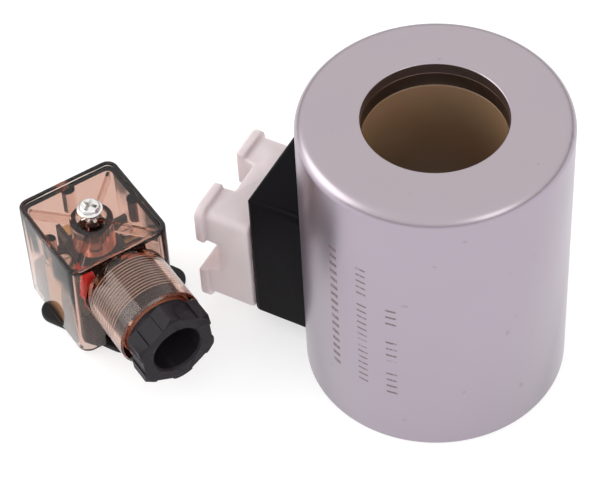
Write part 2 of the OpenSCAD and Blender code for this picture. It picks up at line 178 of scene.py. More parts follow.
def threadedRod(name, rCore, rOuter, z0, z1, pitch, steps, perTurn, crest=0.25):
    # a closed rod with a helical V thread along Z
    rows = max(2, int((z1 - z0) / pitch * perTurn))
    verts = []
    for j in range(rows + 1):
        z = z0 + (z1 - z0) * j / rows
        for k in range(steps):
            a = 2 * math.pi * k / steps
            turn = (z / pitch - k / steps) % 1.0
            ridge = 1 - abs(2 * turn - 1)
            ridge = min(1, max(0, (ridge - crest / 2) / (1 - crest)))
            fade = min(1, (z - z0) / pitch * 1.2, (z1 - z) / pitch * 1.2)
            r = rCore + (rOuter - rCore) * ridge * max(0, fade)
            verts.append((r * math.cos(a), r * math.sin(a), z))
    faces = []
    for j in range(rows):
        for k in range(steps):
            k2 = (k + 1) % steps
            faces.append((j * steps + k, j * steps + k2, (j + 1) * steps + k2, (j + 1) * steps + k))
    faces.append(tuple(range(steps))[::-1])
    faces.append(tuple(range(rows * steps, (rows + 1) * steps)))
    return meshObject(name, verts, faces)


def combine(target, tools, operation):
    # exact boolean of the target with each tool, which is used up
    for tool in tools:
        change = target.modifiers.new("cut", "BOOLEAN")
        change.operation = operation
        change.solver = "EXACT"
        change.object = tool
        bakeModifiers(target)
        bpy.data.objects.remove(tool)
    return target


def bakeModifiers(piece):
    bpy.context.view_layer.update()
    graph = bpy.context.evaluated_depsgraph_get()
    mesh = bpy.data.meshes.new_from_object(piece.evaluated_get(graph))
    piece.modifiers.clear()
    piece.data = mesh


def softenEdges(piece, width, segments=2, angle=32):
    # a small round on every sharp edge
    work = bmesh.new()
    work.from_mesh(piece.data)
    bmesh.ops.dissolve_limit(work, angle_limit=math.radians(1.5), verts=work.verts, edges=work.edges)
    work.to_mesh(piece.data)
    work.free()
    change = piece.modifiers.new("round", "BEVEL")
    change.width = width
    change.segments = segments
    change.limit_method = "ANGLE"
    change.angle_limit = math.radians(angle)
    change.harden_normals = False
    bakeModifiers(piece)
    return piece


def smooth(piece, angle=35):
    for face in piece.data.polygons:
        face.use_smooth = True
    limit = math.cos(math.radians(angle))
    work = bmesh.new()
    work.from_mesh(piece.data)
    for edge in work.edges:
        sharp = len(edge.link_faces) != 2 or edge.link_faces[0].normal.dot(edge.link_faces[1].normal) < limit
        edge.smooth = not sharp
    work.to_mesh(piece.data)
    work.free()
    return piece


def cadCopy(node, name, place, soften=0.0):
    # a new piece that starts from a CAD solid, in millimetres, with softened edges
    made = bpy.data.objects.new(name, frame["nodes"][node].data.copy())
    bpy.context.scene.collection.objects.link(made)
    made.data.materials.clear()
    made.data.transform(place.inverted())
    work = bmesh.new()
    work.from_mesh(made.data)
    bmesh.ops.remove_doubles(work, verts=work.verts, dist=1e-4)
    work.to_mesh(made.data)
    work.free()
    if soften:
        softenEdges(made, soften)
    return made


def settle(piece, place, body, node, finish, angle=35):
    # puts a finished piece in place: metres, body, the CAD node it stands for, and its material
    piece.data.transform(place)
    if piece.data.validate():
        print("mesh repaired:", piece.name)
    smooth(piece, angle)
    piece.data.materials.clear()
    piece.data.materials.append(finish.material)
    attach(piece, body)
    if node:
        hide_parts(node)
    return piece


# Material tools

class Wire:
    # one socket of a material, so that shader maths reads as plain expressions
    def __init__(self, finish, socket):
        self.finish = finish
        self.socket = socket

    def maths(self, operation, first, second):
        return self.finish.add("Math", {"operation": operation}, {0: first, 1: second})

    def __add__(self, other):
        return self.maths("ADD", self, other)

    def __radd__(self, other):
        return self.maths("ADD", other, self)

    def __sub__(self, other):
        return self.maths("SUBTRACT", self, other)

    def __rsub__(self, other):
        return self.maths("SUBTRACT", other, self)

    def __mul__(self, other):
        return self.maths("MULTIPLY", self, other)

    def __rmul__(self, other):
        return self.maths("MULTIPLY", other, self)

    def __truediv__(self, other):
        return self.maths("DIVIDE", self, other)

    def __gt__(self, other):
        return self.maths("GREATER_THAN", self, other)

    def __lt__(self, other):
        return self.maths("LESS_THAN", self, other)

    def __mod__(self, other):
        return self.maths("FLOORED_MODULO", self, other)


class Finish:
    # a material with its shader; add() makes any other node
    def __init__(self, name, color, **fixed):
        self.material = bpy.data.materials.new(name)
        self.material.use_nodes = True
        self.tree = self.material.node_tree
        self.shader = self.tree.nodes["Principled BSDF"]
        self.shader.inputs["Base Color"].default_value = (*color, 1)
        for key, value in fixed.items():
            self.shader.inputs[finishSockets[key]].default_value = value

    def add(self, kind, settings=None, inputs=None, output=0):
        node = self.tree.nodes.new("ShaderNode" + kind)
        for key, value in (settings or {}).items():
            setattr(node, key, value)
        for key, value in (inputs or {}).items():
            if isinstance(value, Wire):
                self.tree.links.new(value.socket, node.inputs[key])
            else:
                node.inputs[key].default_value = value
        return Wire(self, node.outputs[output])

    def feed(self, socket, wire):
        self.tree.links.new(wire.socket, self.shader.inputs[socket])

    def place(self):
        return self.add("TexCoord", output="Object")

    def axis(self, letter):
        return self.add("SeparateXYZ", inputs={0: self.place()}, output=letter)

    def noise(self, scale, detail=3.0, rough=0.5, stretch=None):
        at = self.place()
        if stretch:
            at = self.add("Mapping", inputs={"Vector": at, "Scale": stretch})
        return self.add("TexNoise", inputs={"Vector": at, "Scale": scale, "Detail": detail,
                                            "Roughness": rough})

    def blend(self, factor, first, second):
        shades = {0: factor}
        for key, shade in ((6, first), (7, second)):
            shades[key] = shade if isinstance(shade, Wire) else (*shade, 1)
        return self.add("Mix", {"data_type": "RGBA"}, shades, output=2)

    def bump(self, height, strength, distance):
        self.feed("Normal", self.add("Bump", inputs={"Strength": strength, "Distance": distance,
                                                     "Height": height}))


finishSockets = {
    "metallic": "Metallic", "roughness": "Roughness", "ior": "IOR", "transmission": "Transmission Weight",
    "scatter": "Subsurface Weight", "scatterRadius": "Subsurface Radius", "scatterScale": "Subsurface Scale",
    "specular": "Specular IOR Level", "glow": "Emission Strength",
}


def speckled(name, color, darker, scale, roughness, spread=0.08, bumpDepth=0.00002, **fixed):
    # moulded plastic or rubber: fine grain, slight colour drift, uneven gloss
    finish = Finish(name, color, roughness=roughness, **fixed)
    drift = finish.noise(90.0, 4.0)
    grain = finish.noise(scale, 2.0)
    finish.feed("Base Color", finish.blend(drift, color, darker))
    finish.feed("Roughness", roughness - spread + grain * (2 * spread))
    finish.bump(grain, 0.35, bumpDepth)
    return finish


# Finishes

markings = {
    "columns": [-110.5, -95.8, -82.4],       # degrees round the can
    "widths": [4.2, 4.6, 4.8],               # width of a column, in degrees
    "low": [0.0190, 0.0185, 0.0175],
    "high": [0.0610, 0.0600, 0.0540],
    "pitch": [0.0027, 0.0021, 0.0023],       # from the start of one dash to the next
    "filled": [0.42, 0.26, 0.28],            # share of the pitch that is etched
    "group": [0.0432, 0.0150, 0.0120],       # from the start of one group to the next
    "groupFilled": [1.0, 0.86, 0.62],
    "ink": (0.17, 0.115, 0.105),
}


def etchedMarks(finish, angle, z):
    # plain rows of etched dashes, no lettering
    total = None
    for k, middle in enumerate(markings["columns"]):
        half = math.radians(markings["widths"][k] / 2)
        across = finish.add("Math", {"operation": "ABSOLUTE"}, {0: (angle - math.radians(middle)) / half})
        up = z - markings["low"][k]
        dash = (up % markings["pitch"][k]) < markings["pitch"][k] * markings["filled"][k]
        group = (up % markings["group"][k]) < markings["group"][k] * markings["groupFilled"][k]
        row = (across < 1.0) * (up > 0.0) * (z < markings["high"][k]) * dash * group
        total = row if total is None else total + row
    return total


def steelFinish():
    # satin steel: fine turned lines, faint stains, a few specks, plain etched dashes, and a painted reflection
    # tone on the top
    side = (0.405, 0.350, 0.412)
    # the top face: the same steel given a warmer, less blue colour, a painted reflection tone
    face = (0.400, 0.352, 0.376)
    finish = Finish("satinSteel", side, metallic=1.0, roughness=0.3)
    x = finish.axis("X")
    y = finish.axis("Y")
    z = finish.axis("Z")
    angle = finish.add("Math", {"operation": "ARCTAN2"}, {0: y, 1: x})
    lines = finish.noise(260.0, 3.0, 0.6, (1, 1, 26))
    cloud = finish.noise(38.0, 3.0, 0.5)
    stain = finish.noise(21.0, 4.0, 0.6)
    specks = finish.noise(500.0, 0.0) > 0.845
    worn = finish.noise(1400.0, 2.0) > 0.42
    ink = etchedMarks(finish, angle, z) * (0.35 + 0.45 * worn)
    # above 78.5 mm the top gets the painted reflection tone
    tone = finish.blend(z > 0.0785, side, face)
    tone = finish.blend(0.35 * cloud, tone, (0.36, 0.31, 0.36))
    tone = finish.blend(0.5 * (stain > 0.62) * (z > 0.0785), tone, (0.395, 0.330, 0.335))
    tone = finish.blend(specks * 0.3, tone, (0.2, 0.17, 0.18))
    finish.feed("Base Color", finish.blend(ink, tone, markings["ink"]))
    finish.feed("Roughness", 0.26 + 0.06 * lines + 0.05 * cloud + 0.2 * ink)
    finish.bump(lines, 0.12, 0.00001)
    return finish


def turnedFinish(name, color, roughness, stretch=(1, 1, 30)):
    # metal with fine tool lines
    finish = Finish(name, color, metallic=1.0, roughness=roughness)
    lines = finish.noise(400.0, 3.0, 0.6, stretch)
    stain = finish.noise(140.0, 3.0)
    finish.feed("Base Color", finish.blend(stain, color, tuple(c * 0.8 for c in color)))
    finish.feed("Roughness", roughness - 0.05 + 0.12 * lines)
    finish.bump(lines, 0.15, 0.00001)
    return finish


def smokeFinish():
    # clear smoke plastic: the tint comes from the thickness of the walls
    finish = Finish("clearSmoke", (0.955, 0.89, 0.86), roughness=0.03, transmission=1.0, ior=1.43)
    scuffs = finish.noise(160.0, 4.0, 0.6)
    finish.feed("Roughness", 0.015 + 0.05 * scuffs)
    finish.bump(finish.noise(45.0, 2.0), 0.12, 0.0001)
    tint = finish.tree.nodes.new("ShaderNodeVolumeAbsorption")
    tint.inputs["Color"].default_value = (0.60, 0.27, 0.12, 1)
    tint.inputs["Density"].default_value = 225
    out = finish.tree.nodes["Material Output"]
    finish.tree.links.new(tint.outputs[0], out.inputs["Volume"])
    # lamps shine straight through the thin walls
    toLamp = finish.add("LightPath", output="Is Shadow Ray")
    straight = finish.add("BsdfTransparent", inputs={"Color": (0.93, 0.88, 0.86, 1)})
    surface = finish.add("MixShader", inputs={0: toLamp, 2: straight})
    finish.tree.links.new(finish.shader.outputs[0], surface.socket.node.inputs[1])
    finish.tree.links.new(surface.socket, out.inputs["Surface"])
    return finish


def capFinish():
    # milky polythene, soft and slightly pink
    color = (0.86, 0.77, 0.78)
    finish = Finish("milkyPolythene", color, roughness=0.36, scatter=0.7, scatterScale=0.002, transmission=0.35,
                    scatterRadius=(1.0, 0.85, 0.85), specular=0.35)
    cloud = finish.noise(55.0, 4.0)
    finish.feed("Base Color", finish.blend(cloud, color, (0.80, 0.70, 0.71)))
    finish.feed("Roughness", 0.32 + 0.14 * cloud)
    finish.bump(finish.noise(420.0, 2.0), 0.2, 0.00003)
    return finish


steel = steelFinish()
# dark brown base colour: the pole steel with the shade and dark reflections inside the bore painted in
poleSteelPaintedShade = turnedFinish("darkPoleSteel", (0.21, 0.155, 0.125), 0.38)
plateSteel = turnedFinish("plateSteel", (0.52, 0.50, 0.52), 0.35)
bobbinResin = speckled("bobbinResin", (0.27, 0.185, 0.11), (0.24, 0.125, 0.065), 60.0, 0.32)
baseNylon = speckled("baseNylon", (0.0070, 0.0062, 0.0074), (0.005, 0.0042, 0.0052), 520.0, 0.4, specular=0.03)
# pale colour for the thread groove faces in the tube: a painted glint, standing in for the bright reflections off
# the thread flanks
grooveShine = speckled("grooveShine", (0.86, 0.74, 0.64), (0.74, 0.60, 0.50), 300.0, 0.25)
milky = capFinish()
smoke = smokeFinish()
holderNylon = speckled("holderNylon", (0.016, 0.013, 0.015), (0.010, 0.009, 0.010), 500.0, 0.5, specular=0.2)
nutNylon = speckled("nutNylon", (0.0195, 0.0155, 0.0205), (0.013, 0.011, 0.014), 600.0, 0.5, specular=0.15)
gasketRubber = speckled("gasketRubber", (0.012, 0.012, 0.013), (0.009, 0.009, 0.010), 700.0, 0.55, specular=0.22)
grommetRubber = speckled("grommetRubber", (0.040, 0.034, 0.036), (0.03, 0.025, 0.026), 500.0, 0.5, specular=0.25)
zinc = turnedFinish("zincSteel", (0.80, 0.78, 0.76), 0.2, (1, 1, 8))
tin = turnedFinish("tinPlate", (0.74, 0.71, 0.66), 0.28)
brass = turnedFinish("brassParts", (0.70, 0.50, 0.22), 0.28)
copper = turnedFinish("enamelledCopper", (0.62, 0.27, 0.12), 0.3, (1, 1, 60))
tapeFilm = speckled("tapeFilm", (0.62, 0.50, 0.22), (0.55, 0.43, 0.18), 300.0, 0.3)
pottingResin = speckled("pottingResin", (0.03, 0.03, 0.034), (0.02, 0.02, 0.024), 300.0, 0.4)
boardLacquer = speckled("boardLacquer", (0.05, 0.09, 0.065), (0.035, 0.07, 0.05), 240.0, 0.35)
ledRed = speckled("ledRed", (0.80, 0.012, 0.02), (0.70, 0.01, 0.015), 200.0, 0.15, transmission=0.35)
resistorLacquer = speckled("resistorLacquer", (0.62, 0.42, 0.22), (0.55, 0.36, 0.18), 300.0, 0.3)
varistorLacquer = speckled("varistorLacquer", (0.78, 0.27, 0.05), (0.68, 0.22, 0.04), 300.0, 0.3)
rectifierEpoxy = speckled("rectifierEpoxy", (0.02, 0.02, 0.022), (0.015, 0.015, 0.017), 500.0, 0.5)
print("finishes made:", len(bpy.data.materials))


# Coil

canShape = {
    "fillet": 3.0,
    "chamfer": 0.4,
    "topThickness": 3.0,
    "wall": 2.5,
    "windowHalf": 13.0,      # half the width of the window for the base
    "windowMargin": 2.0,
    "windowDepth": 20.0,
    "steps": 192,
}


def buildCan():
    high = extent("can", coilFrame)[1]
    outer = high.x
    height = high.z
    bore = mountCalled("coil_bore")["dims"]["r_mm"]
    inner = outer - canShape["wall"]
    fillet = arc(outer - canShape["fillet"], height - canShape["fillet"], canShape["fillet"], 0, 90, 14)
    foot = [(inner + 0.2, 0.0), (outer - 0.35, 0.0), (outer - 0.1, 0.1), (outer, 0.35)]
    lip = arc(bore + canShape["chamfer"], height - canShape["chamfer"], canShape["chamfer"], 90, 180, 6)
    ceiling = [(bore, height - canShape["topThickness"]), (inner, height - canShape["topThickness"])]
    can = lathe("steelCan", foot + fillet + lip + ceiling, canShape["steps"])
    windowLow, windowHigh = extent("terminal_base", coilFrame)
    side = canShape["windowHalf"]
    deep = canShape["windowDepth"]
    window = prism("window", [(-outer - 5, -side), (-deep, -side), (-deep, side), (-outer - 5, side)],
                   windowLow.z + canShape["windowMargin"], windowHigh.z - canShape["windowMargin"])
    combine(can, [window], "DIFFERENCE")
    settle(can, coilFrame, "coil", "can", steel, 30)


def buildBoreRing(name, node, finish, rounding):
    # a plain ring with softened rims, taken from its CAD box
    low, high = extent(node, coilFrame)
    bore = mountCalled("coil_bore")["dims"]["r_mm"]
    corners = [(bore, low.z), (high.x, low.z), (high.x, high.z), (bore, high.z)]
    ring = lathe(name, softCorners(corners, [rounding] * 4, 3), 160)
    settle(ring, coilFrame, "coil", node, finish)


bobbinShape = {
    "wall": 1.4,
    "flange": 2.0,
    "rim": 0.5,
}


def buildBobbin():
    low, high = extent("bobbin", coilFrame)
    bore = mountCalled("coil_bore")["dims"]["r_mm"]
    neck = bore + bobbinShape["wall"]
    flange = bobbinShape["flange"]
    corners = [(bore, high.z), (bore, low.z), (high.x, low.z), (high.x, low.z + flange),
               (neck, low.z + flange), (neck, high.z - flange), (high.x, high.z - flange), (high.x, high.z)]
    rounds = [bobbinShape["rim"], bobbinShape["rim"], 0.4, 0.4, 0.6, 0.6, 0.4, 0.4]
    bobbin = lathe("bobbinTube", softCorners(corners, rounds, 3), 160)
    settle(bobbin, coilFrame, "coil", "bobbin", bobbinResin)


def buildTerminalBase():
    block = cadCopy("terminal_base", "terminalBase", coilFrame, 0.35)
    settle(block, coilFrame, "coil", "terminal_base", baseNylon, 40)


buildCan()
buildBoreRing("upperPoleRing", "upper_pole_washer", poleSteelPaintedShade, 0.25)
buildBoreRing("lowerPolePlate", "lower_pole_plate", plateSteel, 0.5)
buildBobbin()
buildTerminalBase()
print("coil built")


# Transport cap

capShape = {
    "body": 30.0,
    "lip": 1.2,
    "lipLength": 2.5,
    "floor": 9.0,
    "gapMouth": 11.0,
    "gapFloor": 9.5,
    "corner": 2.0,
    "lipCorner": 3.0,
    "skin": 0.2,             # how far the body stays behind the outer face
    "edge": 0.55,
}


def buildCap():
    low, high = extent("terminal_cap", coilFrame)
    middle = (low.z + high.z) / 2
    half = capShape["body"] / 2
    length = high.x - low.x
    outerHalf = half + capShape["lip"]
    # drawn along Z from the base (0) to the outer face, then turned to -X
    place = Matrix.Translation((high.x, 0, middle)) @ Matrix.Rotation(math.radians(-90), 4, "Y")
    cap = prism("transportCap", roundRect(-half, -half, half, half, capShape["corner"]),
                0, length - capShape["skin"])
    lip = prism("lip", roundRect(-outerHalf, -outerHalf, outerHalf, outerHalf, capShape["lipCorner"]),
                length - capShape["lipLength"], length)
    combine(cap, [lip], "UNION")
    for quarter in range(2):
        turn = Matrix.Rotation(math.radians(90 * quarter), 4, "Z") @ Matrix.Rotation(math.radians(90), 4, "X")
        mouth = capShape["gapMouth"] / 2
        bottom = capShape["gapFloor"] / 2
        channel = prism("channel", [(-bottom, capShape["floor"]), (bottom, capShape["floor"]),
                                    (mouth, length + 1), (-mouth, length + 1)], -30, 30, turn)
        combine(cap, [channel], "DIFFERENCE")
    softenEdges(cap, capShape["edge"], 3)
    settle(cap, coilFrame @ place, "terminal_cap", "terminal_cap", milky, 40)


buildCap()
print("cap built")


# Plug housing

housingShape = {
    "frontReach": 1.25,      # how much further the gland's side is from the screw than the others
    "wall": 1.8,
    "top": 2.0,
    "recess": 0.6,
    "rim": 1.3,
    "corner": 3.0,
    "boss": 5.4,
    "bossLow": 20.6,
    "sink": 3.9,
    "sinkDepth": 4.0,
    "screwHole": 1.65,
    "column": 1.8,
    "columnLow": 22.2,
    "rib": 0.8,
    "ribHeight": 3.0,
    "wireHole": 6.5,
    "root": 0.6,
    "tube": 11.1,
    "threadCore": 9.3,
    "threadDepth": 0.28,
    "pitch": 0.88,
    "threadEnd": 5.2,
    "rimRound": 0.4,
}


def threadRings(bore, depth, pitch, threadLength, length):
    # outline of the threaded bore: narrow grooves in a plain wall, then a plain mouth
    points = [(0, 0), (bore, 0)]
    for k in range(1, int(threadLength / pitch) + 1):
        at = k * pitch
        points += [(bore, at - 0.15), (bore + depth, at), (bore, at + 0.15)]
    return points + [(bore, length), (0, length)]


def buildHousing():
    s = housingShape
    low, high = extent("plug_housing", plugFrame)
    half = high.y
    tubeEnd = high.x
    front = half + s["frontReach"]
    tubeZ = glandPlace.z / mm
    inner = half - s["wall"]
    under = high.z - s["recess"] - s["top"]
    shell = prism("plugHousing", roundRect(-half, -half, front, half, s["corner"], 8), low.z, high.z)
    softenEdges(shell, 0.5, 3, 60)
    tube = lathe("tube", [(0, 0), (s["tube"], 0), (s["tube"], tubeEnd - front + 1 - 0.5),
                          (s["tube"] - 0.5, tubeEnd - front + 1), (0, tubeEnd - front + 1)], 128,
                 onAxis(front - 1, 0, tubeZ))
    combine(shell, [tube], "UNION")
    cavity = prism("cavity", roundRect(-inner, -inner, front - s["wall"], inner, s["corner"] - 1.4, 6),
                   low.z - 1, under)
    combine(shell, [cavity], "DIFFERENCE")
    recess = loft("recess", [
        (roundRect(grow - half, grow - half, front - grow, half - grow, s["corner"] - grow, 6), z)
        for grow, z in ((s["rim"], high.z - s["recess"]), (s["rim"], high.z - s["rimRound"]),
                        (s["rim"] - 0.12, high.z - s["rimRound"] * 0.4), (s["rim"] - s["rimRound"], high.z),
                        (s["rim"] - s["rimRound"], high.z + 2))])
    combine(shell, [recess], "DIFFERENCE")
    adds = [lathe("boss", [(0, s["bossLow"]), (s["boss"] - 0.3, s["bossLow"]), (s["boss"], s["bossLow"] + 0.3),
                           (s["boss"], high.z - s["recess"] - 0.05), (0, high.z - s["recess"] - 0.05)], 96)]
    for cx, cy in ((-inner, 0), (0, inner), (0, -inner)):
        adds.append(lathe("column", [(0, s["columnLow"]), (s["column"], s["columnLow"]),
                                     (s["column"], under + 0.5), (0, under + 0.5)], 32,
                          Matrix.Translation((cx, cy, 0))))
    for cx, cy in ((-inner, inner), (-inner, -inner), (front - s["wall"], inner), (front - s["wall"], -inner)):
        reach = math.hypot(cx, cy) - 1.0
        rib = prism("rib", [(s["boss"] - 0.5, -s["rib"] / 2), (reach, -s["rib"] / 2),
                            (reach, s["rib"] / 2), (s["boss"] - 0.5, s["rib"] / 2)],
                    under - s["ribHeight"], under + 0.5, Matrix.Rotation(math.atan2(cy, cx), 4, "Z"))
        adds.append(rib)
    combine(shell, adds, "UNION")
    sinkLow = high.z - s["recess"] - s["sinkDepth"]
    cuts = [
        lathe("thread", threadRings(s["threadCore"], s["threadDepth"], s["pitch"],
                                    tubeEnd - front - s["root"] - s["threadEnd"], tubeEnd - front + 2), 128,
              onAxis(front + s["root"], 0, tubeZ)),
        lathe("wireHole", [(0, 0), (s["wireHole"], 0), (s["wireHole"], 5), (0, 5)], 64,
              onAxis(front - s["wall"] - 1, 0, tubeZ)),
        lathe("sink", [(0, sinkLow), (s["sink"], sinkLow), (s["sink"], high.z + 2), (0, high.z + 2)], 96),
        lathe("screwHole", [(0, 5), (s["screwHole"], 5), (s["screwHole"], 35), (0, 35)], 48),
    ]
    combine(shell, cuts, "DIFFERENCE")
    grooveAxis = Vector((0, 0, tubeZ))
    inTube = [(p.index, Vector((0, p.center.y, p.center.z)) - grooveAxis) for p in shell.data.polygons
              if p.center.x > front + s["root"]]
    grooves = [k for k, off in inTube
               if s["threadCore"] + 0.06 < off.length < s["threadCore"] + s["threadDepth"]]
    settle(shell, plugFrame, "housing", "plug_housing", smoke, 30)
    # the thread groove faces get the pale painted-glint material
    shell.data.materials.append(grooveShine.material)
    for k in grooves:
        shell.data.polygons[k].material_index = 1


buildHousing()
print("housing built")


# Inside the plug

def copyAndSoften(node, name, body, finish, width):
    piece = cadCopy(node, name, plugFrame, width)
    settle(piece, plugFrame, body, node, finish)


copyAndSoften("contact_holder", "contactHolder", "plug_insert", holderNylon, 0.3)
for node in ("contact_1", "contact_2", "earth_contact"):
    copyAndSoften(node, node + "_brass", "plug_insert", brass, 0.15)
copyAndSoften("indicator_board", "indicatorBoard", "plug_insert", boardLacquer, 0.1)
copyAndSoften("rectifier", "rectifierBlock", "plug_insert", rectifierEpoxy, 0.2)

ledShape = {"flange": 2.45, "body": 2.15, "flangeHeight": 1.0, "height": 5.0, "legPitch": 2.54, "leg": 0.25}
varistorShape = {"thick": 1.8, "legPitch": 3.6, "leg": 0.28}


def buildLed():
    low, high = extent("led", plugFrame)
    cx = (low.x + high.x) / 2
    cy = (low.y + high.y) / 2
    dome = ledShape["body"]
    base = high.z - ledShape["height"] - dome
    profile = [(0, base), (ledShape["flange"], base), (ledShape["flange"], base + ledShape["flangeHeight"]),
               (dome, base + ledShape["flangeHeight"])] + arc(0, high.z - dome, dome, 0, 90, 10)
    led = lathe("redLed", profile, 48, Matrix.Translation((cx, cy, 0)))
    for side in (-1, 1):
        w = ledShape["leg"]
        y = cy + side * ledShape["legPitch"] / 2
        leg = prism("leg", roundRect(cx - w, y - w, cx + w, y + w, 0.08, 2), low.z, base + 0.3)
        combine(led, [leg], "UNION")
    settle(led, plugFrame, "plug_insert", "led", ledRed)


def buildVaristor():
    low, high = extent("varistor", plugFrame)
    r = (high.y - low.y) / 2
    thick = varistorShape["thick"]
    w = varistorShape["leg"]
    cy = (low.y + high.y) / 2
    cx = (low.x + high.x) / 2
    lens = [(0, -thick / 2)] + arc(r - thick / 2, 0, thick / 2, -80, 80, 8) + [(0, thick / 2)]
    disc = lathe("varistorDisc", lens, 64, onAxis(cx, cy, high.z - r))
    for side in (-1, 1):
        leg = lathe("leg", [(0, low.z), (w, low.z), (w, high.z - r), (0, high.z - r)], 12,
                    Matrix.Translation((cx, cy + side * varistorShape["legPitch"] / 2, 0)))
        combine(disc, [leg], "UNION")
    settle(disc, plugFrame, "plug_insert", "varistor", varistorLacquer)


def buildResistor():
    low, high = extent("resistor", plugFrame)
    r = (high.z - low.z) / 2
    length = high.x - low.x
    outline = [(r, 0), (r, 1.2), (r * 0.86, 1.5), (r * 0.86, length - 1.5), (r, length - 1.2), (r, length)]
    profile = [(0, 0)] + softCorners(outline, [0.5, 0.1, 0.1, 0.1, 0.1, 0.5]) + [(0, length)]
    body = lathe("resistorBody", profile, 40,
                 onAxis(low.x, (low.y + high.y) / 2, (low.z + high.z) / 2))
    settle(body, plugFrame, "plug_insert", "resistor", resistorLacquer)


buildLed()
buildVaristor()
buildResistor()


clampShape = {"headHeight": 1.6, "core": 1.15, "rod": 1.4, "pitch": 0.5, "slotHalf": 0.3, "slotDepth": 0.8}


def buildClamp(k):
    s = clampShape
    plate = cadCopy(f"clamp_plate_{k}", f"clampPlate{k}", plugFrame, 0.12)
    settle(plate, plugFrame, f"clamp_plate_{k}", f"clamp_plate_{k}", zinc)
    low, high = extent(f"clamp_screw_{k}", plugFrame)
    cx = (low.x + high.x) / 2
    cy = (low.y + high.y) / 2
    headR = (high.x - low.x) / 2
    headLow = high.z - s["headHeight"]
    profile = [(0, headLow), (headR - 0.1, headLow), (headR, headLow + 0.1)]
    profile += arc(headR - 0.5, high.z - 0.5, 0.5, 0, 90, 5) + [(0, high.z)]
    screw = lathe(f"clampScrew{k}", profile, 48)
    rod = threadedRod("rod", s["core"], s["rod"], low.z, headLow + 0.2, s["pitch"], 32, 6)
    combine(screw, [rod], "UNION")
    w = s["slotHalf"]
    slot = prism("slot", [(-w, -4), (w, -4), (w, 4), (-w, 4)], high.z - s["slotDepth"], high.z + 1)
    combine(screw, [slot], "DIFFERENCE")
    screw.data.transform(Matrix.Translation((cx, cy, 0)))
    settle(screw, plugFrame, f"clamp_screw_{k}", f"clamp_screw_{k}", zinc)


for k in (1, 2, 3):
    buildClamp(k)
print("insert built")


# Gland

nutShape = {
    "bore": 6.4,
    "panelWidth": 5.0,
    "panelDepth": 0.35,
    "groove": 0.3,
    "cornerTurn": 4.0,
    "flats": 9.75,           # from the axis to a flat
    "headLength": 6.0,
    "threadLength": 5.0,
    "sleeve": 9.2,
}


def buildNut():
    s = nutShape
    high = extent("gland_nut", plugFrame)[1]
    front = high.x
    back = front - s["headLength"]
    tubeZ = glandPlace.z / mm
    flats = s["flats"]
    corner = flats / math.cos(math.radians(30))
    turn = Matrix.Rotation(math.radians(s["cornerTurn"]), 4, "Z")
    head = prism("glandNut", arc(0, 0, corner, 0, 300, 5), 0, s["headLength"], turn)
    crown = lathe("crown", [(0, -1), (corner + 1, -1), (corner + 1, s["headLength"] - 1.2),
                            (flats + 0.2, s["headLength"] + 0.2), (0, s["headLength"] + 0.2)], 96)
    combine(head, [crown], "INTERSECT")
    for k in range(6):
        facing = turn @ Matrix.Rotation(math.radians(60 * k + 30), 4, "Z")
        sunk = flats - s["panelDepth"]
        wide = s["panelWidth"] / 2
        panel = prism("panel", [(sunk, -wide), (flats + 3, -wide), (flats + 3, wide), (sunk, wide)],
                      -1, s["headLength"] + 1, facing)
        combine(head, [panel], "DIFFERENCE")
        for side in (-1, 1):
            edge = side * (wide - 0.12)
            reach = sunk - s["groove"]
            groove = prism("groove", [(reach, edge - 0.1), (flats + 1, edge - 0.16),
                                      (flats + 1, edge + 0.16), (reach, edge + 0.1)],
                           -1, s["headLength"] - 0.5, facing)
            combine(head, [groove], "DIFFERENCE")
    r = s["sleeve"]
    sleeve = lathe("sleeve", [(0, -s["threadLength"]), (r - 0.3, -s["threadLength"]),
                              (r, 0.3 - s["threadLength"]), (r, 0.2), (0, 0.2)], 96)
    combine(head, [sleeve], "UNION")
    bore = lathe("bore", [(0, -8), (s["bore"], -8), (s["bore"], s["headLength"] - 0.5),
                          (s["bore"] + 0.6, s["headLength"] + 0.1), (s["bore"] + 0.6, 9), (0, 9)], 96)
    combine(head, [bore], "DIFFERENCE")
    softenEdges(head, 0.18, 2, 28)
    settle(head, plugFrame @ onAxis(back, 0, tubeZ), "gland_nut", "gland_nut", nutNylon, 30)


def buildRing(name, node, body, bore, finish, rounding):
    low, high = extent(node, plugFrame)
    outer = (high.y - low.y) / 2
    thick = high.x - low.x
    corners = [(bore, 0), (outer, 0), (outer, thick), (bore, thick)]
    ring = lathe(name, softCorners(corners, [rounding] * 4, 3), 96)
    settle(ring, plugFrame @ onAxis(low.x, 0, glandPlace.z / mm), body, node, finish)


buildNut()
buildRing("thrustRing", "thrust_ring", "thrust_ring", 6.0, nutNylon, 0.3)
buildRing("cableGrommet", "cable_grommet", "housing", 4.5, grommetRubber, 0.9)
print("gland built")


# Fixing screw and washer

screwShape = {
    "head": 3.2,
    "headHeight": 1.9,
    "rimHeight": 0.55,
    "rod": 1.5,
    "core": 1.2,
    "pitch": 0.5,
    "threadLength": 12.0,
    "crossWidth": 1.0,
    "crossReach": 2.3,
    "crossDepth": 1.5,
    "crossTurn": 35,
}


